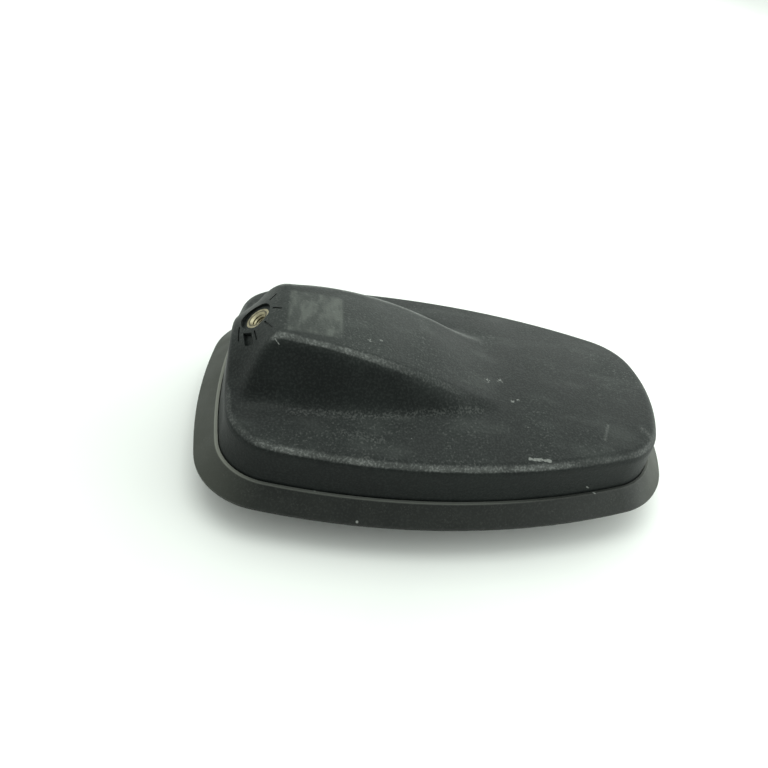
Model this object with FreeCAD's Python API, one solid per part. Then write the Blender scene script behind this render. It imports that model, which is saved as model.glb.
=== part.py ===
import FreeCAD, Part
import math
import os

# Car roof antenna base: a moulded cover over a die-cast base, sealed to the roof by a flared gasket.
# Millimetres. The origin is the axis of the fixing bolt on the roof plane, +X runs towards the nose,
# the mast end is at -X, and +Z points up, away from the roof.

Vector = FreeCAD.Vector
UP = Vector(0, 0, 1)
ACROSS = Vector(0, 1, 0)

# Outline of the gasket on the roof, made of tangent arcs
gasket_length = 145.0
gasket_width = 90.0
widest_x = -17.0
mast_end_radius = 150.0
side_radius = 213.0
nose_radius = 64.0
mast_corner_radius = 22.0
nose_corner_radius = 24.0

# Gasket section: a flared skirt with a lip, a web under the base and a rib round the neck
skirt_edge = 0.8
lip_height = 6.0
lip_inset = 4.6
lip_width = 0.65
skirt_foot_width = 3.5
web_bottom = 1.2
web_top = 3.0
neck_rib_width = 3.0
neck_clearance = 0.3
mast_flare = 1.4
nose_flare = 0.9

# Cover shell
lip_gap = 0.25
cover_wall = 2.2
full_wall_reach = 39.5
cover_draft_deg = 2.0
mast_draft_deg = 4.0
shoulder_round = 3.5
shelf_height = 22.1
shelf_fall_deg = 0.9
shelf_crest_x = -10.0
shelf_long_radius = 1300.0
shelf_cross_radius = 170.0

# Hump on the cover, from the mast face down to the nose
crest_height = 37.8
crest_setback = 8.0
crest_fall = 25.4
crest_run = 75.0
crest_cross_radius = 90.0
hump_half_width = 15.5
hump_narrowing = 3.1
hump_narrowing_run = 42.0
flank_slope_deg = 63.0
crest_blend = 4.2
valley_blend = 4.5
mast_face_blend = 2.6
face_bow_radius = 20.0
face_bow_run = 8.0
skin_station = 3.2
hump_room_walls = 1.4
hump_room_steps = 5

# Mast seat: a recess in the bowed face with a threaded insert at its foot
mast_seat_inset = 15.5
mast_seat_z = 33.0
mast_tilt_deg = 52.0
recess_radius = 4.9
recess_depth = 1.2
mast_boss_wall = 3.0
insert_radius = 3.7
insert_length = 12.0
insert_thread_radius = 2.1
insert_thread_depth = 10.0
insert_countersink = 0.6

# Marks round the recess: distances from the seat, up the slope and along Y
tick_lines = (
    ((5.7, -0.2), (8.4, -1.4)),
    ((3.4, -4.7), (5.9, -8.5)),
    ((-0.1, -6.1), (0.5, -9.6)),
    ((-5.2, -1.8), (-5.8, -6.6)),
    ((4.2, 4.6), (6.2, 6.7)),
)
tick_width = 0.5
tick_depth = 0.4
pocket_corners = ((-4.0, -4.9), (-1.2, -6.2), (-0.8, -10.4), (-3.8, -9.2))
pocket_depth = 1.2

# Base casting, and the neck through the roof: a middle block with a threaded bush between two sockets
base_clearance = 0.4
base_thickness = 2.5
neck_length = 46.0
neck_width = 22.0
neck_corner_radius = 4.0
neck_depth = 10.0
neck_flange = 2.0
neck_flange_height = 1.2
neck_block_length = 13.0
bush_radius = 4.6
fixing_thread_radius = 2.5
fixing_thread_length = 14.0

# Screws that hold the cover to the base
mast_screw_inset = 21.5
mast_screw_side = 20.0
nose_screw_inset = 23.5
nose_screw_side = 26.0
screw_pad_height = 2.0
screw_pad_radius = 4.2
cover_boss_radius = 3.6
cover_screw_radius = 1.45
cover_screw_bite = 5.5
cover_screw_head_radius = 2.7
cover_screw_head_height = 1.7
screw_clearance = 0.2

# Circuit board on its posts
board_mast_inset = 29.5
board_nose_inset = 31.5
board_side_inset = 17.0
board_thickness = 1.6
board_lift = 3.0
post_radius = 3.0
post_inset = 5.0
board_screw_radius = 1.0
board_screw_bite = 3.5
board_screw_head_radius = 2.2
board_screw_head_height = 1.3

# Positioning receiver patch
patch_inset = 14.0
patch_size = 25.0
patch_height = 3.0
patch_pad_height = 0.5
electrode_size = 21.0
electrode_height = 0.2
electrode_corner = 2.5
feed_offset = 2.5
feed_radius = 0.5
feed_head_radius = 1.3
feed_head_height = 0.4
feed_tail = 1.2

# Parts on the board
can_patch_gap = 5.5
can_side_inset = 11.0
can_length = 22.0
can_width = 16.0
can_height = 4.5
can_wall = 0.35
chip_length = 5.0
chip_width = 4.0
chip_height = 1.4
filter_x = 3.5
filter_size = 3.0
filter_height = 1.1
chip_x = -6.5
choke_mast_inset = 19.0
choke_side_inset = 15.0
choke_size = 7.0
choke_height = 4.2
choke_chamfer = 0.6
chip_part_length = 2.0
chip_part_width = 1.25
chip_part_height = 0.8
chip_part_count = 6
chip_part_inset = 6.0
chip_part_side_inset = 15.0

# Spring contact between the mast insert and the board
contact_thickness = 0.4
contact_width = 5.0
contact_tab = 6.0
contact_foot = 5.0
contact_foot_inset = 2.0

# Two coaxial sockets that point down through the neck
socket_x = 13.5
socket_gap = 0.15
socket_top_length = 15.0
socket_top_width = 16.4
socket_bore_radius = 4.6
socket_bore_depth = 12.5
shell_radius = 3.0
shell_wall = 0.5
shell_setback = 5.0
insulator_setback = 3.5
pin_radius = 0.5
pin_setback = 1.0
pin_tail = 0.7
pin_clearance = 0.2

# Levels and places that follow from the sizes above
mast_end = -gasket_length / 2
nose_end = gasket_length / 2
cover_inset = lip_inset + lip_width + lip_gap
lip_ends = (mast_flare, nose_flare)
draft_per_height = math.tan(math.radians(cover_draft_deg))
mast_draft_per_height = math.tan(math.radians(mast_draft_deg))
plate_top = web_top + base_thickness
pad_top = plate_top + screw_pad_height
board_bottom = plate_top + board_lift
board_top = board_bottom + board_thickness
neck_bottom = -neck_depth
neck_top = plate_top + neck_flange_height
fixing_thread_top = neck_bottom + fixing_thread_length
sky = crest_height + mast_seat_z
mast_seat_x = mast_end + mast_seat_inset
crest_start_x = mast_seat_x + crest_setback
hump_widest_x = crest_start_x + hump_narrowing_run
mast_tilt = math.radians(mast_tilt_deg)
mast_axis = Vector(-math.cos(mast_tilt), 0, math.sin(mast_tilt))
mast_upslope = Vector(math.sin(mast_tilt), 0, math.cos(mast_tilt))
mast_seat = Vector(mast_seat_x, 0, mast_seat_z)
mast_boss_radius = insert_radius + mast_boss_wall
mast_boss_length = recess_depth + insert_length
insert_foot = mast_seat - mast_axis * mast_boss_length
board_mast_edge = mast_end + board_mast_inset
board_nose_edge = nose_end - board_nose_inset
board_centre_x = (board_mast_edge + board_nose_edge) / 2
board_length = board_nose_edge - board_mast_edge
board_width = gasket_width - 2 * board_side_inset
patch_x = board_nose_edge - patch_inset
can_x = patch_x - patch_size / 2 - can_patch_gap - can_length / 2
can_y = can_side_inset - board_width / 2
choke_x = board_mast_edge + choke_mast_inset
choke_y = board_width / 2 - choke_side_inset
chip_part_y = chip_part_side_inset - board_width / 2
chip_part_start = board_mast_edge + chip_part_inset
chip_part_pitch = (can_x - can_length / 2 - chip_part_start) / chip_part_count
mast_screw_place = (mast_end + mast_screw_inset, gasket_width / 2 - mast_screw_side)
nose_screw_place = (nose_end - nose_screw_inset, gasket_width / 2 - nose_screw_side)
screw_places = [Vector(x, side * y, 0) for x, y in (mast_screw_place, nose_screw_place) for side in (-1, 1)]
post_places = [
    Vector(board_centre_x + end * (board_length / 2 - post_inset), end * (board_width / 2 - post_inset), 0)
    for end in (-1, 1)
]
socket_places = {"radio": Vector(-socket_x, 0, 0), "gps": Vector(socket_x, 0, 0)}


def polar(centre, radius, angle):
    return Vector(centre.x + radius * math.cos(angle), centre.y + radius * math.sin(angle), 0)


def direction(start, end):
    return math.atan2(end.y - start.y, end.x - start.x)


def corner_centre(first, first_radius, second, second_radius, radius, side):
    """Centre of an arc of this radius that touches two larger arcs from inside."""
    reach_first = first_radius - radius
    reach_second = second_radius - radius
    span = second - first
    distance = span.Length
    along = (reach_first**2 - reach_second**2 + distance**2) / (2 * distance)
    across = math.sqrt(reach_first**2 - along**2)
    foot = first + span * (along / distance)
    step = Vector(-span.y, span.x, 0) * (across / distance)
    return max((foot + step, foot - step), key=lambda place: side * place.x)


def outline(inset, height, ends=(0.0, 0.0)):
    """Closed wire of the roof outline, moved inwards by the inset, and further at the mast and nose ends."""
    mast_radius = mast_end_radius - ends[0]
    front_radius = nose_radius - ends[1]
    mast = Vector(mast_end + mast_end_radius, 0, 0)
    side = Vector(widest_x, gasket_width / 2 - side_radius, 0)
    nose = Vector(nose_end - nose_radius, 0, 0)
    mast_corner = corner_centre(mast, mast_radius, side, side_radius, mast_corner_radius, -1)
    nose_corner = corner_centre(side, side_radius, nose, front_radius, nose_corner_radius, 1)
    turns = [
        (mast, mast_radius, math.pi, direction(mast, mast_corner)),
        (mast_corner, mast_corner_radius, direction(mast, mast_corner), direction(side, mast_corner)),
        (side, side_radius, direction(side, mast_corner), direction(side, nose_corner)),
        (nose_corner, nose_corner_radius, direction(side, nose_corner), direction(nose, nose_corner)),
        (nose, front_radius, direction(nose, nose_corner), 0.0),
    ]
    lift = Vector(0, 0, height)
    upper = []
    for centre, radius, start, end in turns:
        points = [polar(centre, radius - inset, angle) for angle in (start, (start + end) / 2, end)]
        upper.append([point + lift for point in points])
    lower = [[Vector(point.x, -point.y, point.z) for point in reversed(points)] for points in reversed(upper)]
    return Part.Wire([Part.Arc(*points).toShape() for points in upper + lower])


def prism(inset_low, low, ends_low, inset_high, high, ends_high):
    wires = [outline(inset_low, low, ends_low), outline(inset_high, high, ends_high)]
    return Part.makeLoft(wires, True, True)


def plate(inset, low, high, ends=(0.0, 0.0)):
    return Part.Face(outline(inset, low, ends)).extrude(UP * (high - low))


def block(length, width, low, high, centre):
    corner = Vector(centre.x - length / 2, centre.y - width / 2, low)
    return Part.makeBox(length, width, high - low, corner)


def rounded_block(length, width, low, high, centre, radius):
    solid = block(length, width, low, high, centre)
    uprights = [edge for edge in solid.Edges if edge.BoundBox.ZLength > edge.BoundBox.DiagonalLength / 2]
    return solid.makeFillet(radius, uprights)


def rod(radius, low, high, centre):
    return Part.makeCylinder(radius, high - low, Vector(centre.x, centre.y, low), UP)


def group(solids):
    return Part.makeCompound(solids)


def smooth_lower(first, second, blend):
    share = max(blend - abs(first - second), 0.0) / blend
    return min(first, second) - share * share * blend / 4


def smooth_upper(first, second, blend):
    return -smooth_lower(-first, -second, blend)


# Height of the cover's skin above any point of the roof
def shelf_level(x, y):
    fall = x * math.tan(math.radians(shelf_fall_deg))
    long_crown = (x - shelf_crest_x) ** 2 / (2 * shelf_long_radius)
    cross_crown = y * y / (2 * shelf_cross_radius)
    return shelf_height - fall - long_crown - cross_crown


def crest_level(x):
    run = max(x - crest_start_x, 0.0) / crest_run
    return crest_height - crest_fall * run * run


def face_bow(x, y):
    """How far the mast face falls away to the sides: not at its top edge, and more towards the mast end."""
    share = max(crest_start_x - x, 0.0) / face_bow_run
    return share * y * y / (2 * face_bow_radius)


def skin_level(x, y):
    crest = crest_level(x)
    ridge = crest - y * y / (2 * crest_cross_radius)
    off_middle = (x - hump_widest_x) / hump_narrowing_run
    half_width = hump_half_width - hump_narrowing * min(off_middle * off_middle, 1.0)
    flank = crest - (abs(y) - half_width) * math.tan(math.radians(flank_slope_deg))
    face = mast_seat_z + (x - mast_seat_x) / math.tan(mast_tilt) - face_bow(x, y)
    hump = smooth_lower(smooth_lower(ridge, flank, crest_blend), face, mast_face_blend)
    return smooth_upper(hump, shelf_level(x, y), valley_blend)


def under_skin():
    """Everything below the skin, as one solid wider than the cover."""
    steps_x = math.ceil(gasket_length / skin_station)
    steps_y = math.ceil(gasket_width / skin_station)
    step_x = gasket_length / steps_x
    step_y = gasket_width / steps_y
    side_y = -gasket_width / 2
    rows = [
        [skin_level(mast_end + i * step_x, side_y + j * step_y) for j in range(steps_y + 1)]
        for i in range(steps_x + 1)
    ]
    surface = Part.BSplineSurface()
    surface.interpolate(rows, mast_end, step_x, side_y, step_y)
    return surface.toShape().extrude(UP * -sky)


def drafted(inset, low, high):
    """Block inside the drafted walls, which lean in further at the mast end."""
    rise = high - low
    high_ends = (mast_flare + rise * mast_draft_per_height, nose_flare)
    return prism(inset, low, lip_ends, inset + rise * draft_per_height, high, high_ends)


def cover_outside():
    upper = drafted(cover_inset, lip_height, sky).common(under_skin())
    upper = upper.makeFillet(shoulder_round, shoulder_edges(upper))
    return upper.fuse(plate(cover_inset, web_top, lip_height, lip_ends))


def cover_room():
    """The space inside: a flat room under the shelf and a faceted one under the hump."""
    room_top = shelf_level(0.0, full_wall_reach) - cover_wall
    shelf_room = drafted(cover_inset + cover_wall, web_top, room_top)
    drop = hump_room_walls * cover_wall
    half = hump_half_width - hump_narrowing - drop
    low = room_top - cover_wall
    start = crest_start_x + cover_wall
    end = crest_start_x + crest_run * math.sqrt((crest_height - drop - room_top) / crest_fall)
    stations = [start + (end - start) * i / hump_room_steps for i in range(hump_room_steps + 1)]
    line = [Vector(x, -half, crest_level(x) - drop) for x in stations]
    line = [Vector(mast_seat_x, -half, low)] + line + [Vector(end, -half, low)]
    hump_room = Part.Face(Part.makePolygon(line + line[:1])).extrude(ACROSS * (2 * half))
    return shelf_room.fuse(hump_room)


def shoulder_edges(solid):
    """Edges of the skin: the ones that bound the topmost face."""
    skin = max(solid.Faces, key=lambda face: face.CenterOfMass.z)
    return skin.Edges


def mast_rod(radius, start, end):
    """Rod on the mast axis between two depths below the seat."""
    return Part.makeCylinder(radius, end - start, mast_seat - mast_axis * end, mast_axis)


def on_face(place):
    """Point in the plane through the seat, by its distances up the slope and along Y."""
    return mast_seat + mast_upslope * place[0] + ACROSS * place[1]


def face_column(corners):
    """Column through the mast face, along the mast axis, from its corners on the face."""
    points = [on_face(corner) - mast_axis * mast_boss_length for corner in corners]
    return Part.Face(Part.makePolygon(points + points[:1])).extrude(mast_axis * (2 * mast_boss_length))


def tick_corners(start, end):
    run = math.hypot(end[0] - start[0], end[1] - start[1])
    aside = ((start[1] - end[1]) * tick_width / (2 * run), (end[0] - start[0]) * tick_width / (2 * run))
    pairs = ((start, 1), (end, 1), (end, -1), (start, -1))
    return [(point[0] + side * aside[0], point[1] + side * aside[1]) for point, side in pairs]


def surface_cut(bar, body, depth):
    """The part of a bar that lies above the body when it is sunk along the mast axis."""
    sunk = body.copy()
    sunk.translate(mast_axis * -depth)
    return bar.cut(sunk)


def make_cover():
    outside = cover_outside()
    cover = outside.cut(cover_room())
    mast_boss = mast_rod(mast_boss_radius, -recess_depth, mast_boss_length)
    bosses = [rod(cover_boss_radius, pad_top, sky, place) for place in screw_places]
    for boss in [mast_boss] + bosses:
        cover = cover.fuse(boss.common(outside))
    cuts = [mast_rod(recess_radius, -mast_boss_length, recess_depth)]
    cuts.append(mast_rod(insert_radius, recess_depth, mast_boss_length + cover_wall))
    cuts += [rod(cover_screw_radius, web_top, pad_top + cover_screw_bite, place) for place in screw_places]
    for start, end in tick_lines:
        cuts.append(surface_cut(face_column(tick_corners(start, end)), outside, tick_depth))
    cuts.append(surface_cut(face_column(pocket_corners), outside, pocket_depth))
    return cover.cut(cuts).removeSplitter()


def make_gasket():
    flare = prism(0.0, skirt_edge, (0.0, 0.0), lip_inset, lip_height, lip_ends)
    skirt = plate(0.0, 0.0, skirt_edge).fuse(flare)
    gasket = skirt.cut(plate(lip_inset + lip_width, web_top, lip_height, lip_ends))
    gasket = gasket.cut(plate(skirt_foot_width, 0.0, web_bottom))
    opening = neck_clearance + neck_rib_width
    rib = rounded_block(
        neck_length + 2 * opening,
        neck_width + 2 * opening,
        0.0,
        web_bottom,
        Vector(),
        neck_corner_radius + opening,
    )
    hole = rounded_block(
        neck_length + 2 * neck_clearance,
        neck_width + 2 * neck_clearance,
        0.0,
        web_top,
        Vector(),
        neck_corner_radius + neck_clearance,
    )
    return gasket.fuse(rib).cut(hole).removeSplitter()


def make_base():
    edge_inset = cover_inset + cover_wall + base_clearance
    base = plate(edge_inset, web_top, plate_top, lip_ends)
    pads = [rod(screw_pad_radius, web_top, pad_top, place) for place in screw_places]
    posts = [rod(post_radius, web_top, board_bottom, place) for place in post_places]
    base = base.fuse(pads + posts)
    cuts = [rounded_block(neck_length, neck_width, web_top, plate_top, Vector(), neck_corner_radius)]
    for place in screw_places:
        cuts.append(rod(cover_screw_radius + screw_clearance, web_top, pad_top, place))
        head_room = cover_screw_head_height + screw_clearance
        cuts.append(rod(cover_screw_head_radius + screw_clearance, web_top, web_top + head_room, place))
    for place in post_places:
        cuts.append(rod(board_screw_radius, board_bottom - board_screw_bite, board_bottom, place))
    return base.cut(cuts).removeSplitter()


def neck_slice(start, end):
    """The part of the neck and its flange between two places along X."""
    neck = rounded_block(neck_length, neck_width, neck_bottom, plate_top, Vector(), neck_corner_radius)
    flange_length = neck_length + 2 * neck_flange
    flange_width = neck_width + 2 * neck_flange
    flange_corner = neck_corner_radius + neck_flange
    flange = rounded_block(flange_length, flange_width, plate_top, neck_top, Vector(), flange_corner)
    keep = block(end - start, flange_width, neck_bottom, neck_top, Vector((start + end) / 2, 0, 0))
    return neck.fuse(flange).removeSplitter().common(keep)


def make_neck():
    middle = neck_slice(-neck_block_length / 2, neck_block_length / 2)
    return middle.cut(rod(bush_radius, neck_bottom, plate_top, Vector()))


def make_bush():
    bush = rod(bush_radius, neck_bottom, plate_top, Vector())
    return bush.cut(rod(fixing_thread_radius, neck_bottom, fixing_thread_top, Vector()))


def make_cover_screw(place):
    head_low = web_top + screw_clearance
    head_high = head_low + cover_screw_head_height
    head = rod(cover_screw_head_radius, head_low, head_high, place)
    shank = rod(cover_screw_radius, head_high, pad_top + cover_screw_bite, place)
    return head.fuse(shank).removeSplitter()


def make_mast_insert():
    bottom = insert_length - insert_thread_depth - insert_countersink
    mouth = insert_length - insert_countersink
    profile = [
        Vector(0, 0, 0),
        Vector(insert_radius, 0, 0),
        Vector(insert_radius, 0, insert_length),
        Vector(insert_thread_radius + insert_countersink, 0, insert_length),
        Vector(insert_thread_radius, 0, mouth),
        Vector(insert_thread_radius, 0, bottom),
        Vector(0, 0, bottom),
        Vector(0, 0, 0),
    ]
    bush = Part.Face(Part.makePolygon(profile)).revolve(Vector(), UP, 360)
    bush.Placement = FreeCAD.Placement(insert_foot, FreeCAD.Rotation(UP, mast_axis))
    return bush


def make_mast_contact():
    """Bent strip: a tab flat against the insert's foot, a sloping leg and a foot on the board."""
    half = contact_thickness / 2
    tab_middle = insert_foot - mast_axis * half
    foot_z = board_top + half
    heel = Vector(board_mast_edge + contact_foot_inset, 0, foot_z)
    line = [
        tab_middle + mast_upslope * (contact_tab / 2),
        tab_middle - mast_upslope * (contact_tab / 2),
        heel,
        heel + Vector(contact_foot, 0, 0),
    ]
    normals = []
    for start, end in zip(line, line[1:]):
        run = end - start
        run.normalize()
        normals.append(Vector(run.z, 0, -run.x))
    offsets = [normals[0] * half]
    for before, after in zip(normals, normals[1:]):
        bisector = before + after
        offsets.append(bisector * (half / bisector.dot(before)))
    offsets.append(normals[-1] * half)
    one_side = [point + offset for point, offset in zip(line, offsets)]
    other_side = [point - offset for point, offset in zip(line, offsets)]
    corners = one_side + other_side[::-1] + one_side[:1]
    strip = Part.Face(Part.makePolygon(corners)).extrude(ACROSS * contact_width)
    strip.translate(ACROSS * (-contact_width / 2))
    return strip


def make_board():
    centre = Vector(board_centre_x, 0, 0)
    board = block(board_length, board_width, board_bottom, board_top, centre)
    hole_radius = board_screw_radius + screw_clearance
    holes = [rod(hole_radius, board_bottom, board_top, place) for place in post_places]
    holes += [rod(pin_radius, board_bottom, board_top, place) for place in socket_places.values()]
    holes.append(rod(feed_radius, board_bottom, board_top, feed_place()))
    return board.cut(holes)


def make_board_screw(place):
    shank = rod(board_screw_radius, board_bottom - board_screw_bite, board_top, place)
    head = rod(board_screw_head_radius, board_top, board_top + board_screw_head_height, place)
    return shank.fuse(head).removeSplitter()


# Positioning receiver patch: foam pad, ceramic, silvered face and feed pin
def feed_place():
    return Vector(patch_x + feed_offset, 0, 0)


def patch_levels():
    pad_high = board_top + patch_pad_height
    ceramic_high = pad_high + patch_height
    return pad_high, ceramic_high, ceramic_high + electrode_height


def make_patch_layer(size, low, high, corner):
    layer = rounded_block(size, size, low, high, Vector(patch_x, 0, 0), corner)
    relief_radius = pin_radius + pin_clearance
    relief_top = board_top + pin_tail + pin_clearance
    reliefs = [rod(relief_radius, board_top, relief_top, place) for place in socket_places.values()]
    return layer.cut(reliefs + [rod(feed_radius, low, high, feed_place())])


def make_feed_pin():
    top = patch_levels()[2]
    pin = rod(feed_radius, board_bottom - feed_tail, top, feed_place())
    head = rod(feed_head_radius, top, top + feed_head_height, feed_place())
    return pin.fuse(head).removeSplitter()


# Parts soldered to the board
def make_shield_can():
    centre = Vector(can_x, can_y, 0)
    can = block(can_length, can_width, board_top, board_top + can_height, centre)
    room_high = board_top + can_height - can_wall
    room = block(can_length - 2 * can_wall, can_width - 2 * can_wall, board_top, room_high, centre)
    return can.cut(room)


def make_amplifier_chip():
    place = Vector(can_x + chip_x, can_y, 0)
    return block(chip_length, chip_width, board_top, board_top + chip_height, place)


def make_filter():
    centre = Vector(can_x + filter_x, can_y, 0)
    return block(filter_size, filter_size, board_top, board_top + filter_height, centre)


def make_choke():
    centre = Vector(choke_x, choke_y, 0)
    body = block(choke_size, choke_size, board_top, board_top + choke_height, centre)
    return body.makeChamfer(choke_chamfer, [edge for edge in body.Edges if edge.CenterOfMass.z > board_top])


def make_chip_parts():
    places = [Vector(chip_part_start + i * chip_part_pitch, chip_part_y, 0) for i in range(chip_part_count)]
    top = board_top + chip_part_height
    return group([block(chip_part_width, chip_part_length, board_top, top, place) for place in places])


# Coaxial sockets, each a moulded housing with a metal shell, an insulator and a pin
shell_tip = neck_bottom + shell_setback
insulator_tip = shell_tip + insulator_setback
pin_tip = shell_tip + pin_setback


def make_socket_housing(place):
    inner_end = math.copysign(neck_block_length / 2 + socket_gap, place.x)
    outer_end = math.copysign(neck_length / 2 + neck_flange, place.x)
    body = neck_slice(min(inner_end, outer_end), max(inner_end, outer_end))
    top = block(socket_top_length, socket_top_width, neck_top, board_bottom, place)
    bore = rod(socket_bore_radius, neck_bottom, neck_bottom + socket_bore_depth, place)
    seat = rod(shell_radius, neck_bottom, board_bottom, place)
    return body.fuse(top).cut([bore, seat]).removeSplitter()


def make_socket_shell(place):
    tube = rod(shell_radius, shell_tip, board_bottom, place)
    return tube.cut(rod(shell_radius - shell_wall, shell_tip, board_bottom, place))


def make_socket_insulator(place):
    core = rod(shell_radius - shell_wall, insulator_tip, board_bottom, place)
    return core.cut(rod(pin_radius, insulator_tip, board_bottom, place))


def make_socket_pin(place):
    return rod(pin_radius, pin_tip, board_top + pin_tail, place)


def all_parts():
    pad_high, ceramic_high, electrode_high = patch_levels()
    parts = {
        "cover": make_cover(),
        "roof_gasket": make_gasket(),
        "base_plate": make_base(),
        "roof_neck": make_neck(),
        "fixing_bush": make_bush(),
        "cover_screws": group([make_cover_screw(place) for place in screw_places]),
        "mast_insert": make_mast_insert(),
        "mast_contact": make_mast_contact(),
        "circuit_board": make_board(),
        "board_screws": group([make_board_screw(place) for place in post_places]),
        "patch_pad": make_patch_layer(patch_size, board_top, pad_high, electrode_corner),
        "gps_patch": make_patch_layer(patch_size, pad_high, ceramic_high, electrode_height),
        "patch_electrode": make_patch_layer(electrode_size, ceramic_high, electrode_high, electrode_corner),
        "patch_feed_pin": make_feed_pin(),
        "shield_can": make_shield_can(),
        "amplifier_chip": make_amplifier_chip(),
        "band_filter": make_filter(),
        "choke": make_choke(),
        "chip_parts": make_chip_parts(),
    }
    for name, place in socket_places.items():
        parts[name + "_socket_housing"] = make_socket_housing(place)
        parts[name + "_socket_shell"] = make_socket_shell(place)
        parts[name + "_socket_insulator"] = make_socket_insulator(place)
        parts[name + "_socket_pin"] = make_socket_pin(place)
    return parts


os.makedirs("parts", exist_ok=True)
for node, shape in all_parts().items():
    shape.exportStep("parts/" + node + ".step")
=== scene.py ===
import math

import bpy
from mathutils import Matrix, Vector


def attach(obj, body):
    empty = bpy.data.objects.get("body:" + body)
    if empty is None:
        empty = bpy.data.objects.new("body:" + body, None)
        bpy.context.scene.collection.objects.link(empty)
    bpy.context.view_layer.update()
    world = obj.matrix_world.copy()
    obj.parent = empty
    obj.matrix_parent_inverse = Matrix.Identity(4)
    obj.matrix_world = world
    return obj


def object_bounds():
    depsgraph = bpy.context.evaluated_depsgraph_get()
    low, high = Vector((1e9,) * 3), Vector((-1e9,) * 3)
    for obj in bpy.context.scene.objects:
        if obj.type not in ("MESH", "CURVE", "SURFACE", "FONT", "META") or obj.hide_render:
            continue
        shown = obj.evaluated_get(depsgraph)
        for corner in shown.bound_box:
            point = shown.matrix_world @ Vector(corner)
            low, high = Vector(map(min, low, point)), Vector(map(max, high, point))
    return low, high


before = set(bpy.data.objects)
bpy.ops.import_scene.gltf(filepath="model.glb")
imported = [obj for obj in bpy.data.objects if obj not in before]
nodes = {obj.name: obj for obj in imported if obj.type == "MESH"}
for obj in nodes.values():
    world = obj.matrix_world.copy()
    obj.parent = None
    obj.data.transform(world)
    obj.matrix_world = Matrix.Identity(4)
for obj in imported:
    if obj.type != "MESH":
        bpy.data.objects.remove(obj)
cad_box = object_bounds()

# Places and sizes are in millimetres here, and in metres in the scene
MM = 0.001


def metres(point):
    return Vector([value * MM for value in point])


def rgb(red, green, blue):
    return (red, green, blue, 1.0)


def grey(level):
    return rgb(level, level, level)


# Camera, at the photograph's view
CAMERA_AZIMUTH = -9.36
CAMERA_ELEVATION = 40.61
CAMERA_ROLL = 11.71
CAMERA_DISTANCE = 234.08
CAMERA_TARGET = (-17.9, -3.05, 15.0)
CAMERA_FIELD = 52.0
CAMERA_NEAREST = 5.0

# Floor and light
FLOOR_LEVEL = cad_box[0][2] / MM
FLOOR_HALF = 3000.0
FLOOR_COLORS = (rgb(0.785, 0.79, 0.78), rgb(0.805, 0.81, 0.80))
FLOOR_BLOTCHES = {"size": 60.0, "detail": 2.0}
FLOOR_GRAIN = {"size": 0.8, "detail": 2.0}
FLOOR_BUMP = {"depth": 0.01, "strength": 0.3}
FLOOR_ROUGH = 0.8
FLOOR_GLOSS = 0.2
LAMPS = {
    "back_lamp": {"place": (380.0, 460.0, 330.0), "sides": (700.0, 420.0), "power": 1.6},
    "nose_lamp": {"place": (520.0, -90.0, 150.0), "sides": (420.0, 280.0), "power": 1.5},
    "top_lamp": {"place": (-20.0, 160.0, 700.0), "sides": (700.0, 500.0), "power": 2.0},
}
LIGHT_COLOR = (0.935, 1.0, 0.945)
WORLD_TURN = (-0.75, 0.25)
WORLD_STRENGTH = (0.55, 1.30)

# Mast insert and its thread, an M5 thread over the tapping drill's bore
MAST_SEAT = Vector((-57.0, 0.0, 33.0))
MAST_TILT = math.radians(52.0)
MAST_AXIS = Vector((-math.cos(MAST_TILT), 0.0, math.sin(MAST_TILT)))
INSERT_DEPTH = 10.0
INSERT_RISE = 1.0
INSERT_LINE = (MAST_SEAT - MAST_AXIS * INSERT_DEPTH, MAST_SEAT + MAST_AXIS * INSERT_RISE)
THREAD_START = 1.9
THREAD_LENGTH = 8.8
THREAD_PITCH = 0.8
THREAD_ROOT = 2.13
THREAD_CREST = 1.78
THREAD_CREST_FLAT = 0.2
THREAD_STEPS = 48

# A noise is given by the size of its blotches, and most of its values lie in this spread
NOISE_SPREAD = (0.3, 0.7)

# In the materials below, two numbers are a range over which a strength goes from 0 to 1.
# Four are a range and the strengths at its two ends.
# Three are a zone's low end and high end, and the width over which it fades outside them.

# Cover: grain, blotches, smears, and a paler tone towards the hump's top
COVER_COLORS = (rgb(0.0045, 0.0060, 0.0058), rgb(0.0076, 0.0100, 0.0094))
COVER_BLOTCHES = {"size": 15.0, "detail": 3.0}
COVER_GRAIN = {"size": 0.6, "detail": 3.0}
COVER_BUMP = {"depth": 0.10, "strength": 0.8}
COVER_ROUGH = (0.25, 0.75, 0.46, 0.56)
COVER_GLOSS = 0.16
TOP_FACING = (0.5, 0.9)
PEAK_RANGE = (0.42, 0.68)
PEAK_FACING = (0.1, 0.8, 0.06, 0.12)
PEAK_COLOR = rgb(0.090, 0.098, 0.094)
SMEARS = {"size": 7.0, "detail": 4.0, "stretch": (0.5, 1.0, 1.0)}
SMEAR_RANGE = (0.48, 0.74, 0.0, 0.16)
SMEAR_COLOR = rgb(0.080, 0.088, 0.082)
# Paler towards the hump's top, by height
HEIGHT_PALING_RANGE = (28.0, 36.0, 0.0, 0.14)
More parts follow.
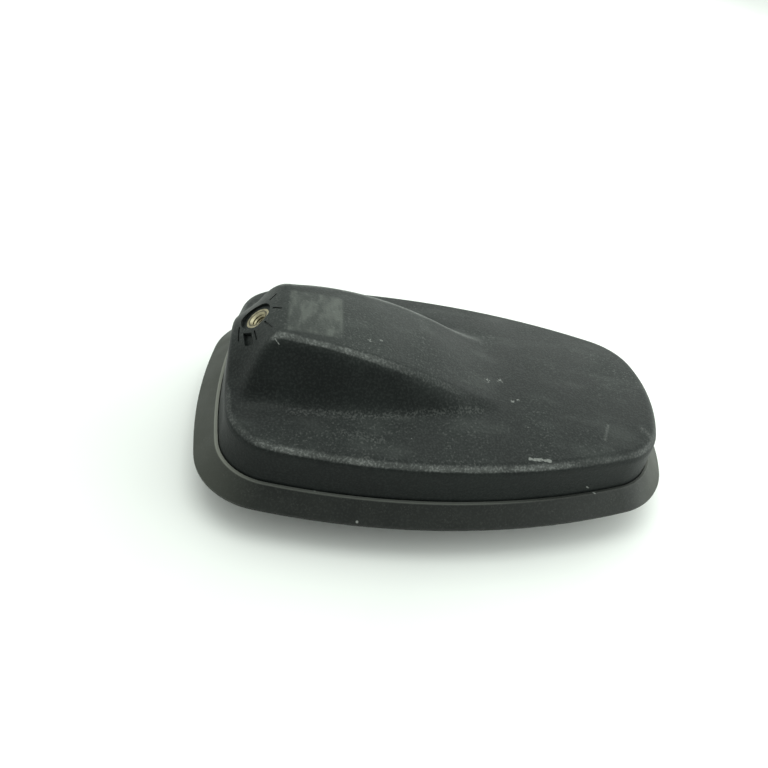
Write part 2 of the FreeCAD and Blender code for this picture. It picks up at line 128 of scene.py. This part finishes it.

# Cover: edges rubbed pale on the shoulder and along the hump's crests, partly real wear and partly
# painted highlight
RUBBED_AND_HIGHLIGHT_COLOR = rgb(0.235, 0.243, 0.235)
RUBBED_AND_HIGHLIGHT_STRENGTH = 0.62
RUBBED_AND_HIGHLIGHT_PEAKS = (0.0, 1.0, 0.45, 1.0)
RUBBED_AND_HIGHLIGHT_PATCHES = (0.0, 1.0, 0.6, 1.0)
PATCHES = {"size": 6.0, "detail": 3.0}
PATCH_RANGE = (0.36, 0.62)
SHOULDER_FACING = (0.64, 0.76, 0.20)
SHOULDER_HEIGHT = (13.5, 20.5, 0.6)
SHOULDER_MAST_FADE = (-60.0, -46.0, 0.4, 1.0)
SHOULDER_NOSE_FADE = (22.0, 42.0, 1.0, 0.4)
CREST_FACING = (0.78, 0.88, 0.08)
CREST_HEIGHT = (21.6, 27.0)
CREST_SIDEWAYS = (0.2, 0.42)
CREST_NOSE_FADE = (-32.0, -12.0, 0.85, 0.2)
# Painted highlight: the crest band carried onto the far side
CREST_FAR_SIDE = (0.0, 2.0, 0.0, 0.9)
# Painted highlight along the far crest
FAR_CREST_FACING = (0.84, 0.95, 0.05)
FAR_CREST_HEIGHT = (20.6, 24.0)
FAR_CREST_SIDEWAYS = (0.1, 0.3)

# Cover: residue of a label on the hump, and dust
LABEL_LENGTH = (-47.0, -33.5, 1.4)
LABEL_WIDTH = (-9.6, 7.0, 1.4)
LABEL_HEIGHT = (33.0, 34.0)
LABEL_BLOTCHES = {"size": 2.4, "detail": 5.0, "stretch": (1.0, 0.4, 1.0)}
LABEL_RANGE = (0.36, 0.68, 0.12, 0.46)
LABEL_COLOR = rgb(0.125, 0.135, 0.122)
DUST = {"size": 0.7, "detail": 2.0}
DUST_RANGE = (0.56, 0.70)
DUST_BLOTCH_RANGE = (0.36, 0.62)
DUST_STRENGTH = 0.16
DUST_COLOR = rgb(0.20, 0.205, 0.195)

# Cover: specks, scratches, a fibre, and speckled bands of painted highlight, by places on its skin and
# radius
MARK_COLOR = rgb(0.30, 0.31, 0.295)
MARK_CORE = 0.4
COVER_MARK_AND_HIGHLIGHT_STRENGTH = 0.50
WORN_AND_HIGHLIT_ROUGH = 0.12
SPECKLE = {"size": 0.6, "detail": 2.0}
SPECKLE_RANGE = (0.46, 0.62)
SPECKS = (
    ((-25.0, -8.1, 34.8), 0.9),
    ((-21.8, -6.8, 34.2), 0.7),
    ((11.5, -5.5, 22.5), 1.2),
    ((15.8, -4.2, 21.7), 1.3),
    ((18.6, -12.2, 21.1), 0.8),
    ((20.3, -11.3, 21.1), 0.6),
    ((21.9, -21.2, 20.0), 0.35),
    ((13.8, 18.8, 20.6), 0.4),
    ((-11.8, -29.4, 19.7), 0.4),
)
# Painted highlight: speckled pale bands along the valley's edge and near the shoulder
SPECKLED_HIGHLIGHT_BANDS = (
    ((-44.9, -24.6, 20.6), (-20.5, -23.4, 21.0), 1.6),
    ((-20.5, -23.4, 21.0), (8.2, -17.4, 21.4), 1.6),
    ((-29.9, -29.6, 19.8), (-20.5, -31.1, 19.5), 1.8),
)
SPECKLED_HIGHLIGHT_STRENGTH = 0.14
SCRATCHES = (
    ((21.1, -32.1, 18.4), (26.9, -31.9, 18.1), 0.75),
    ((-50.7, -12.8, 35.6), (-49.5, -13.9, 34.7), 0.2),
    ((-59.4, -27.6, 11.1), (-57.8, -29.5, 10.5), 0.35),
)
SCRATCH_BREAKS = {"size": 0.8, "detail": 3.0}
SCRATCH_BREAK_RANGE = (*NOISE_SPREAD, -0.45, 0.45)
SCRATCH_RANGE = (0.50, 1.0)
FAINT_STREAKS = (
    ((44.9, -22.3, 18.8), (47.1, -16.4, 19.3), 0.7),
    ((58.0, -15.6, 18.7), (59.8, -18.6, 18.1), 1.2),
)
FAINT_RANGE = (0.35, 0.6, 0.08, 0.32)
FIBRE = ((40.9, -31.1, 8.2), (44.2, -31.2, 5.7), 0.3)

# Gasket: grain, painted light at both ends, dust, and a painted highlight along the lip
GASKET_COLORS = (rgb(0.0064, 0.0078, 0.0068), rgb(0.0100, 0.0117, 0.0102))
GASKET_BLOTCHES = {"size": 9.0, "detail": 3.0}
GASKET_GRAIN = {"size": 0.6, "detail": 3.0}
GASKET_BUMP = {"depth": 0.05, "strength": 0.6}
GASKET_ROUGH = (*NOISE_SPREAD, 0.52, 0.64)
GASKET_GLOSS = 0.30
GASKET_PEAK_RANGE = (0.45, 0.70, 0.0, 0.07)
GASKET_PEAK_COLOR = rgb(0.12, 0.125, 0.115)
# Painted light: the gasket paler towards both ends, where more light falls
GASKET_MAST_END_LIGHT = (-48.0, -66.0)
GASKET_NOSE_END_LIGHT = (56.0, 68.0)
END_LIGHT_COLOR = rgb(0.042, 0.045, 0.036)
END_LIGHT_STRENGTH = 0.7
GASKET_DUST = {"size": 0.45, "detail": 2.0}
GASKET_DUST_PATCHES = {"size": 4.0, "detail": 2.0}
GASKET_DUST_PATCH_RANGE = (0.40, 0.66)
GASKET_DUST_STRENGTH = 0.10
GASKET_DUST_COLOR = rgb(0.16, 0.165, 0.15)
# Painted highlight along the lip's top edge, paler at the ends and fading towards the nose
LIP_HEIGHT = (5.6, 5.95)
LIP_NOSE_FADE = (5.0, 38.0, 0.75, 0.12)
LIP_COLORS = (rgb(0.105, 0.11, 0.10), rgb(0.23, 0.235, 0.205))
GASKET_SPECKS = (
    ((-36.3, -38.6, 6.0), 0.6),
    ((-24.3, -44.5, 1.3), 0.5),
)
GASKET_MARK_STRENGTH = 0.7

# Dark ring round the insert's mouth, by distance from its axis
GROOVE_ZONE = (2.75, 3.0, 0.15)
GROOVE_COLOR = rgb(0.05, 0.045, 0.035)
GROOVE_STRENGTH = 0.85

# Finishes of the other materials
CAST = {
    "blotches": {"size": 5.0, "detail": 4.0},
    "grain": {"size": 0.5, "detail": 4.0},
    "bump": {"depth": 0.05, "strength": 0.6},
    "metal": 1.0,
}
BRIGHT = {
    "blotches": {"size": 1.6, "detail": 3.0},
    "grain": {"size": 0.12, "detail": 2.0, "stretch": (1.0, 1.0, 0.1)},
    "bump": {"depth": 0.01, "strength": 0.5},
    "metal": 1.0,
}
MOULDED = {
    "blotches": {"size": 3.0, "detail": 3.0},
    "grain": {"size": 0.2, "detail": 3.0},
    "bump": {"depth": 0.015, "strength": 0.5},
    "metal": 0.0,
}

# Those materials: finish, darkest and palest colour, and least and most roughness
BLOTCHED_MATERIALS = {
    "cast_base": (CAST, grey(0.36), grey(0.48), (0.38, 0.55)),
    "screw_steel": (BRIGHT, grey(0.42), grey(0.56), (0.26, 0.40)),
    "insert_brass": (BRIGHT, rgb(0.24, 0.21, 0.14), rgb(0.44, 0.40, 0.28), (0.42, 0.58), GROOVE_ZONE),
    "contact_bronze": (BRIGHT, rgb(0.55, 0.36, 0.19), rgb(0.66, 0.45, 0.26), (0.25, 0.40)),
    "board_laminate": (MOULDED, rgb(0.01, 0.07, 0.03), rgb(0.015, 0.1, 0.045), (0.35, 0.50)),
    "pad_foam": (MOULDED, grey(0.06), grey(0.1), (0.80, 0.95)),
    "patch_ceramic": (MOULDED, rgb(0.55, 0.47, 0.36), rgb(0.63, 0.55, 0.43), (0.50, 0.65)),
    "silver_face": (BRIGHT, grey(0.68), grey(0.82), (0.25, 0.40)),
    "can_steel": (BRIGHT, grey(0.5), grey(0.62), (0.25, 0.38)),
    "chip_plastic": (MOULDED, grey(0.014), grey(0.024), (0.45, 0.60)),
    "filter_ceramic": (MOULDED, rgb(0.5, 0.48, 0.42), rgb(0.6, 0.58, 0.52), (0.40, 0.55)),
    "choke_ferrite": (MOULDED, grey(0.03), grey(0.05), (0.55, 0.70)),
    "radio_socket_plastic": (MOULDED, grey(0.012), grey(0.02), (0.40, 0.55)),
    "gps_socket_plastic": (MOULDED, rgb(0.012, 0.03, 0.2), rgb(0.02, 0.045, 0.27), (0.40, 0.55)),
    "insulator_plastic": (MOULDED, grey(0.7), grey(0.8), (0.40, 0.55)),
}


# Shader graphs
class Graph:
    """One material's shader graph, with short calls for its nodes. Its places are in millimetres."""

    SOCKETS = {
        "color": "Base Color",
        "metal": "Metallic",
        "rough": "Roughness",
        "normal": "Normal",
        "specular": "Specular IOR Level",
    }
    RANGE_SOCKETS = ("Value", "From Min", "From Max", "To Min", "To Max")
    NUMBER_OPERATIONS = ("DOT_PRODUCT", "DISTANCE")

    # The Mix node has a set of sockets for each kind of data, and these are its places for colours
    MIX_INPUTS = (0, 6, 7)
    MIX_RESULT = 2

    def __init__(self, name):
        self.material = bpy.data.materials.new(name)
        self.material.use_nodes = True
        self.tree = self.material.node_tree
        self.tree.nodes.clear()
        output = self.add("OutputMaterial")
        self.shader = self.add("BsdfPrincipled")
        self.join(self.shader.outputs["BSDF"], output.inputs["Surface"])
        self.place = self.vector("SCALE", self.add("TexCoord").outputs["Object"], scale=1.0 / MM)

    def add(self, kind):
        return self.tree.nodes.new("ShaderNode" + kind)

    def join(self, source, socket):
        """Link a socket to another node's output, or set it to a fixed value."""
        if isinstance(source, bpy.types.NodeSocket):
            self.tree.links.new(source, socket)
        else:
            socket.default_value = source

    def vector(self, operation, first, second=None, scale=None):
        node = self.add("VectorMath")
        node.operation = operation
        self.join(first, node.inputs[0])
        if second is not None:
            self.join(second, node.inputs[1])
        if scale is not None:
            self.join(scale, node.inputs["Scale"])
        return node.outputs["Value" if operation in self.NUMBER_OPERATIONS else "Vector"]

    def math(self, operation, *values):
        node = self.add("Math")
        node.operation = operation
        for value, socket in zip(values, node.inputs):
            self.join(value, socket)
        return node.outputs["Value"]

    def product(self, *values):
        result = values[0]
        for value in values[1:]:
            result = self.math("MULTIPLY", result, value)
        return result

    def most(self, *values):
        result = values[0]
        for value in values[1:]:
            result = self.math("MAXIMUM", result, value)
        return result

    def clamp(self, value):
        node = self.add("Clamp")
        self.join(value, node.inputs["Value"])
        return node.outputs["Result"]

    def split(self, vector):
        node = self.add("SeparateXYZ")
        self.join(vector, node.inputs["Vector"])
        return node.outputs

    def noise(self, size, detail, stretch=None):
        place = self.place if stretch is None else self.vector("MULTIPLY", self.place, stretch)
        node = self.add("TexNoise")
        self.join(place, node.inputs["Vector"])
        self.join(1.0 / size, node.inputs["Scale"])
        self.join(detail, node.inputs["Detail"])
        return node.outputs["Fac"]

    def ramp(self, value, low, high, out_low=0.0, out_high=1.0):
        node = self.add("MapRange")
        node.interpolation_type = "SMOOTHSTEP"
        for name, entry in zip(self.RANGE_SOCKETS, (value, low, high, out_low, out_high)):
            self.join(entry, node.inputs[name])
        return node.outputs["Result"]

    def between(self, value, low, high, edge):
        rise = self.ramp(value, low - edge, low)
        fall = self.ramp(value, high, high + edge, 1.0, 0.0)
        return self.product(rise, fall)

    def blend(self, amount, first, second):
        node = self.add("Mix")
        node.data_type = "RGBA"
        for index, value in zip(self.MIX_INPUTS, (amount, first, second)):
            self.join(value, node.inputs[index])
        return node.outputs[self.MIX_RESULT]

    def bump(self, height, depth, strength):
        node = self.add("Bump")
        self.join(height, node.inputs["Height"])
        self.join(depth * MM, node.inputs["Distance"])
        self.join(strength, node.inputs["Strength"])
        return node.outputs["Normal"]

    def distance_to_line(self, start, end):
        """The distance to the nearest place on the line between two places."""
        run = Vector(end) - Vector(start)
        offset = self.vector("SUBTRACT", self.place, tuple(start))
        share = self.clamp(self.vector("DOT_PRODUCT", offset, tuple(run / run.length_squared)))
        nearest = self.vector("SCALE", tuple(run), scale=share)
        return self.vector("DISTANCE", offset, nearest)

    def speck(self, centre, radius):
        distance = self.vector("DISTANCE", self.place, centre)
        return self.ramp(distance, radius * MARK_CORE, radius, 1.0, 0.0)

    def streak(self, start, end, radius, core=MARK_CORE):
        return self.ramp(self.distance_to_line(start, end), radius * core, radius, 1.0, 0.0)

    def finish(self, **values):
        for key, value in values.items():
            self.join(value, self.shader.inputs[self.SOCKETS[key]])
        return self.material


# Cover material
def plastic_tone(g, height, facing_up, broad, peaks):
    color = g.blend(g.ramp(broad, *NOISE_SPREAD), *COVER_COLORS)
    smears = g.ramp(g.noise(**SMEARS), *SMEAR_RANGE)
    # Smears, and a paler tone higher up the hump
    smears_and_height_paling = g.math("ADD", smears, g.ramp(height, *HEIGHT_PALING_RANGE))
    color = g.blend(g.product(smears_and_height_paling, g.ramp(facing_up, *TOP_FACING)), color, SMEAR_COLOR)
    return g.blend(g.product(peaks, g.ramp(facing_up, *PEAK_FACING)), color, PEAK_COLOR)


def rubbed_and_highlit_edges(g, place, facing, peaks):
    x, y, z = place
    sideways, facing_up = facing[1], facing[2]
    # Shoulder band: rubbed wear and painted highlight
    shoulder = g.product(
        g.between(facing_up, *SHOULDER_FACING),
        g.between(z, *SHOULDER_HEIGHT),
        g.ramp(x, *SHOULDER_MAST_FADE),
        g.ramp(x, *SHOULDER_NOSE_FADE),
    )
    # Crest bands: rubbed wear and painted highlight
    crests = g.product(
        g.between(facing_up, *CREST_FACING),
        g.ramp(z, *CREST_HEIGHT),
        g.ramp(g.math("ABSOLUTE", sideways), *CREST_SIDEWAYS),
        g.most(g.ramp(x, *CREST_NOSE_FADE), g.ramp(y, *CREST_FAR_SIDE)),
    )
    # Painted highlight along the far crest, where the surface turns away
    far_crest_highlight = g.product(
        g.between(facing_up, *FAR_CREST_FACING),
        g.ramp(sideways, *FAR_CREST_SIDEWAYS),
        g.ramp(z, *FAR_CREST_HEIGHT),
    )
    patches = g.ramp(g.noise(**PATCHES), *PATCH_RANGE)
    edges = g.most(shoulder, crests, far_crest_highlight)
    return g.product(edges, g.ramp(peaks, *RUBBED_AND_HIGHLIGHT_PEAKS), g.ramp(patches, *RUBBED_AND_HIGHLIGHT_PATCHES))


def label_residue(g, place):
    x, y, z = place
    return g.product(
        g.between(x, *LABEL_LENGTH),
        g.between(y, *LABEL_WIDTH),
        g.ramp(z, *LABEL_HEIGHT),
        g.ramp(g.noise(**LABEL_BLOTCHES), *LABEL_RANGE),
    )


def cover_dust(g, facing_up, broad):
    return g.product(
        g.ramp(g.noise(**DUST), *DUST_RANGE),
        g.ramp(broad, *DUST_BLOTCH_RANGE),
        g.ramp(facing_up, *TOP_FACING),
    )


def cover_marks_and_highlights(g, grain):
    specks = g.most(*[g.speck(*speck) for speck in SPECKS])
    # Painted highlight bands, broken up by speckle below
    highlight_bands = g.most(*[g.streak(*band) for band in SPECKLED_HIGHLIGHT_BANDS])
    speckle = g.ramp(g.noise(**SPECKLE), *SPECKLE_RANGE)
    broken = g.product(g.most(specks, g.product(highlight_bands, SPECKLED_HIGHLIGHT_STRENGTH)), speckle)
    scratches = g.most(*[g.streak(*line) for line in SCRATCHES])
    breaks = g.ramp(g.noise(**SCRATCH_BREAKS), *SCRATCH_BREAK_RANGE)
    scratches = g.ramp(g.math("ADD", scratches, breaks), *SCRATCH_RANGE)
    streaks = g.most(*[g.streak(*line, core=0.0) for line in FAINT_STREAKS])
    faint = g.product(streaks, g.ramp(grain, *FAINT_RANGE))
    return g.most(broken, scratches, faint, g.streak(*FIBRE))


def cover_plastic():
    g = Graph("cover_plastic")
    place = g.split(g.place)
    facing = g.split(g.add("NewGeometry").outputs["Normal"])
    height, facing_up = place[2], facing[2]
    grain = g.noise(**COVER_GRAIN)
    broad = g.noise(**COVER_BLOTCHES)
    peaks = g.ramp(grain, *PEAK_RANGE)
    edges = rubbed_and_highlit_edges(g, place, facing, peaks)
    label = label_residue(g, place)
    dust = cover_dust(g, facing_up, broad)
    marks = cover_marks_and_highlights(g, grain)
    color = plastic_tone(g, height, facing_up, broad, peaks)
    color = g.blend(label, color, LABEL_COLOR)
    color = g.blend(g.product(dust, DUST_STRENGTH), color, DUST_COLOR)
    # Rubbed wear and painted highlight on the edges, in one pale colour
    color = g.blend(g.product(edges, RUBBED_AND_HIGHLIGHT_STRENGTH), color, RUBBED_AND_HIGHLIGHT_COLOR)
    # Specks, scratches and the fibre, with the speckled bands of painted highlight
    color = g.blend(g.product(marks, COVER_MARK_AND_HIGHLIGHT_STRENGTH), color, MARK_COLOR)
    # Rougher where worn or marked, where the label was, and where highlight is painted
    worn_and_highlit = g.most(edges, marks, label)
    rough = g.math("ADD", g.ramp(broad, *COVER_ROUGH), g.product(worn_and_highlit, WORN_AND_HIGHLIT_ROUGH))
    return g.finish(color=color, rough=rough, normal=g.bump(grain, **COVER_BUMP), specular=COVER_GLOSS)


# Gasket material
def gasket_dust(g):
    dust = g.ramp(g.noise(**GASKET_DUST), *DUST_RANGE)
    return g.product(dust, g.ramp(g.noise(**GASKET_DUST_PATCHES), *GASKET_DUST_PATCH_RANGE))


def gasket_rubber():
    g = Graph("gasket_rubber")
    place = g.split(g.place)
    along, height = place[0], place[2]
    broad = g.noise(**GASKET_BLOTCHES)
    grain = g.noise(**GASKET_GRAIN)
    # Painted light towards both ends
    end_light = g.most(g.ramp(along, *GASKET_MAST_END_LIGHT), g.ramp(along, *GASKET_NOSE_END_LIGHT))
    # Painted highlight along the lip
    lip = g.product(g.ramp(height, *LIP_HEIGHT), g.ramp(along, *LIP_NOSE_FADE))
    marks = g.most(g.streak(*FIBRE), *[g.speck(*speck) for speck in GASKET_SPECKS])
    color = g.blend(g.ramp(broad, *NOISE_SPREAD), *GASKET_COLORS)
    color = g.blend(g.ramp(grain, *GASKET_PEAK_RANGE), color, GASKET_PEAK_COLOR)
    color = g.blend(g.product(end_light, END_LIGHT_STRENGTH), color, END_LIGHT_COLOR)
    color = g.blend(g.product(gasket_dust(g), GASKET_DUST_STRENGTH), color, GASKET_DUST_COLOR)
    color = g.blend(lip, color, g.blend(end_light, *LIP_COLORS))
    color = g.blend(g.product(marks, GASKET_MARK_STRENGTH), color, MARK_COLOR)
    rough = g.ramp(broad, *GASKET_ROUGH)
    return g.finish(color=color, rough=rough, normal=g.bump(grain, **GASKET_BUMP), specular=GASKET_GLOSS)


# Other materials
def blotched_material(name, finish, darkest, palest, rough, groove=None):
    g = Graph(name)
    broad = g.noise(**finish["blotches"])
    color = g.blend(g.ramp(broad, *NOISE_SPREAD), darkest, palest)
    if groove is not None:
        ring = g.between(g.distance_to_line(*INSERT_LINE), *groove)
        color = g.blend(g.product(ring, GROOVE_STRENGTH), color, GROOVE_COLOR)
    roughness = g.ramp(broad, *NOISE_SPREAD, *rough)
    normal = g.bump(g.noise(**finish["grain"]), **finish["bump"])
    return g.finish(color=color, metal=finish["metal"], rough=roughness, normal=normal)


def floor_sheet():
    g = Graph("floor_sheet")
    color = g.blend(g.ramp(g.noise(**FLOOR_BLOTCHES), *NOISE_SPREAD), *FLOOR_COLORS)
    normal = g.bump(g.noise(**FLOOR_GRAIN), **FLOOR_BUMP)
    return g.finish(color=color, rough=FLOOR_ROUGH, normal=normal, specular=FLOOR_GLOSS)


# Every solid gets the material of its slot's name
materials = {"cover_plastic": cover_plastic(), "gasket_rubber": gasket_rubber()}
for material_name, look in BLOTCHED_MATERIALS.items():
    materials[material_name] = blotched_material(material_name, *look)

for node in nodes.values():
    for entry in node.material_slots:
        entry.material = materials[entry.material.name.split(".")[0]]


def mesh_object(name, points, faces, material):
    mesh = bpy.data.meshes.new(name)
    mesh.from_pydata([metres(point) for point in points], [], faces)
    mesh.materials.append(material)
    piece = bpy.data.objects.new(name, mesh)
    bpy.context.collection.objects.link(piece)
    return piece


# Thread in the mast insert
def mast_thread():
    """One ridge of the thread's section, wound down the insert's bore and closed at both ends."""
    upslope = Vector((math.sin(MAST_TILT), 0.0, math.cos(MAST_TILT)))
    across = Vector((0.0, 1.0, 0.0))
    half = THREAD_PITCH / 2
    flat = THREAD_CREST_FLAT / 2
    profile = ((THREAD_ROOT, -half), (THREAD_CREST, -flat), (THREAD_CREST, flat), (THREAD_ROOT, half))
    width = len(profile)
    count = round(THREAD_LENGTH / THREAD_PITCH * THREAD_STEPS)
    points = []
    for step in range(count + 1):
        angle = 2 * math.pi * step / THREAD_STEPS
        outward = upslope * math.cos(angle) + across * math.sin(angle)
        depth = THREAD_START + half + THREAD_PITCH * step / THREAD_STEPS
        points += [MAST_SEAT + outward * radius - MAST_AXIS * (depth + lift) for radius, lift in profile]
    faces = []
    for step in range(count):
        for side in range(width):
            here = step * width + side
            beside = step * width + (side + 1) % width
            faces.append((here, beside, beside + width, here + width))
    faces.append(tuple(reversed(range(width))))
    faces.append(tuple(range(count * width, count * width + width)))
    return mesh_object("mast_thread", points, faces, materials["insert_brass"])


thread = mast_thread()
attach(thread, "root")


# Camera
def camera_matrix():
    azimuth = math.radians(CAMERA_AZIMUTH)
    elevation = math.radians(CAMERA_ELEVATION)
    roll = math.radians(CAMERA_ROLL)
    right = Vector((math.cos(azimuth), math.sin(azimuth), 0.0))
    ahead = Vector((-math.sin(azimuth), math.cos(azimuth), 0.0))
    upright = Vector((0.0, 0.0, 1.0))
    up = ahead * math.sin(elevation) + upright * math.cos(elevation)
    back = upright * math.sin(elevation) - ahead * math.cos(elevation)
    across = right * math.cos(roll) + up * math.sin(roll)
    upward = up * math.cos(roll) - right * math.sin(roll)
    place = metres(CAMERA_TARGET) + back * CAMERA_DISTANCE * MM
    turn = Matrix((across, upward, back)).transposed().to_4x4()
    return Matrix.Translation(place) @ turn


camera_data = bpy.data.cameras.new("camera")
camera_data.sensor_fit = "HORIZONTAL"
camera_data.angle = math.radians(CAMERA_FIELD)
camera_data.clip_start = CAMERA_NEAREST * MM
camera = bpy.data.objects.new("camera", camera_data)
camera.matrix_world = camera_matrix()
bpy.context.collection.objects.link(camera)
bpy.context.scene.camera = camera

# Floor
corners = ((-1, -1), (1, -1), (1, 1), (-1, 1))
floor_points = [(x * FLOOR_HALF, y * FLOOR_HALF, FLOOR_LEVEL) for x, y in corners]
floor = mesh_object("floor", floor_points, [(0, 1, 2, 3)], floor_sheet())


# Light
def add_lamp(name, place, sides, power):
    """A rectangular lamp that faces the object's origin."""
    data = bpy.data.lights.new(name, "AREA")
    data.shape = "RECTANGLE"
    data.size = sides[0] * MM
    data.size_y = sides[1] * MM
    data.energy = power
    data.color = LIGHT_COLOR
    lamp = bpy.data.objects.new(name, data)
    lamp.location = metres(place)
    lamp.rotation_euler = (-metres(place)).to_track_quat("-Z", "Y").to_euler()
    bpy.context.collection.objects.link(lamp)


def add_world():
    """Pale surroundings, darker in front of the object than behind it."""
    world = bpy.data.worlds.new("world")
    world.use_nodes = True
    tree = world.node_tree
    direction = tree.nodes.new("ShaderNodeTexCoord")
    split = tree.nodes.new("ShaderNodeSeparateXYZ")
    ramp = tree.nodes.new("ShaderNodeMapRange")
    ramp.interpolation_type = "SMOOTHSTEP"
    for name, value in zip(Graph.RANGE_SOCKETS[1:], WORLD_TURN + WORLD_STRENGTH):
        ramp.inputs[name].default_value = value
    background = tree.nodes["Background"]
    background.inputs["Color"].default_value = rgb(*LIGHT_COLOR)
    tree.links.new(direction.outputs["Generated"], split.inputs["Vector"])
    tree.links.new(split.outputs["Y"], ramp.inputs["Value"])
    tree.links.new(ramp.outputs["Result"], background.inputs["Strength"])
    bpy.context.scene.world = world


for lamp_name, lamp in LAMPS.items():
    add_lamp(lamp_name, **lamp)
add_world()

view = bpy.context.scene.view_settings
view.view_transform = "Standard"
view.look = "None"
